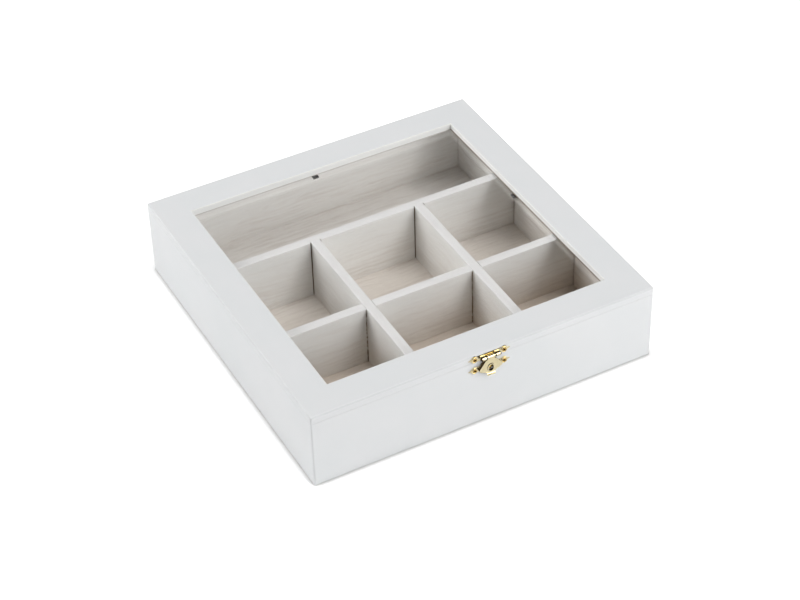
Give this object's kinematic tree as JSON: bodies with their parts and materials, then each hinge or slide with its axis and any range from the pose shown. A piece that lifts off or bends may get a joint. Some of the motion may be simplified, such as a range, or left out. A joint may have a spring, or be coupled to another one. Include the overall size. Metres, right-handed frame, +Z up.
{
  "type": "tea bag organizer box",
  "caption": "Shallow square wooden box with a hinged glazed lid, a small front latch and divided compartments for tea bags.",
  "frame": {"origin": "centre of the face the box rests on", "axes": "+X to the right along the front, +Y towards the hinges at the back, +Z up"},
  "size_m": [0.24, 0.249, 0.055],
  "materials": {
    "white_paint": "satin white paint on wood",
    "washed_wood": "matt whitewash with the grain showing",
    "pane": "clear",
    "brass": "polished",
    "black_clip": "satin black",
    "clip_screw": "zinc plated"
  },
  "bodies": {
    "box": {"front_wall": "white_paint", "back_wall": "white_paint", "left_wall": "white_paint", "right_wall": "white_paint", "floor_panel": "washed_wood", "rear_divider": "washed_wood", "middle_divider": "washed_wood", "left_divider": "washed_wood", "right_divider": "washed_wood", "left_hinge_base_leaf": "brass", "right_hinge_base_leaf": "brass", "left_hinge_pin": "brass", "right_hinge_pin": "brass", "hinge_base_screws": "brass", "catch_plate": "brass", "catch_plate_screws": "brass"},
    "lid": {"lid_front_rail": "white_paint", "lid_back_rail": "white_paint", "lid_left_stile": "white_paint", "lid_right_stile": "white_paint", "window_glass": "pane", "front_glass_clip": "black_clip", "back_glass_clip": "black_clip", "left_glass_clip": "black_clip", "right_glass_clip": "black_clip", "glass_clip_screws": "clip_screw", "left_hinge_lid_leaf": "brass", "right_hinge_lid_leaf": "brass", "hinge_lid_screws": "brass", "latch_plate": "brass", "latch_plate_screws": "brass", "latch_pin": "brass"},
    "hasp": {"latch_hasp": "brass"}
  },
  "joints": [
    {"name": "lid_hinge", "type": "hinge", "parent": "box", "child": "lid", "pos_m": [0, 0.12195, 0.04995], "axis": [-1, 0, 0], "range_deg": [0, 92]},
    {"name": "hasp_hinge", "type": "hinge", "parent": "lid", "child": "hasp", "pos_m": [0.0007, -0.1224, 0.0525], "axis": [-1, 0, 0], "range_deg": [0, 150]}
  ]
}
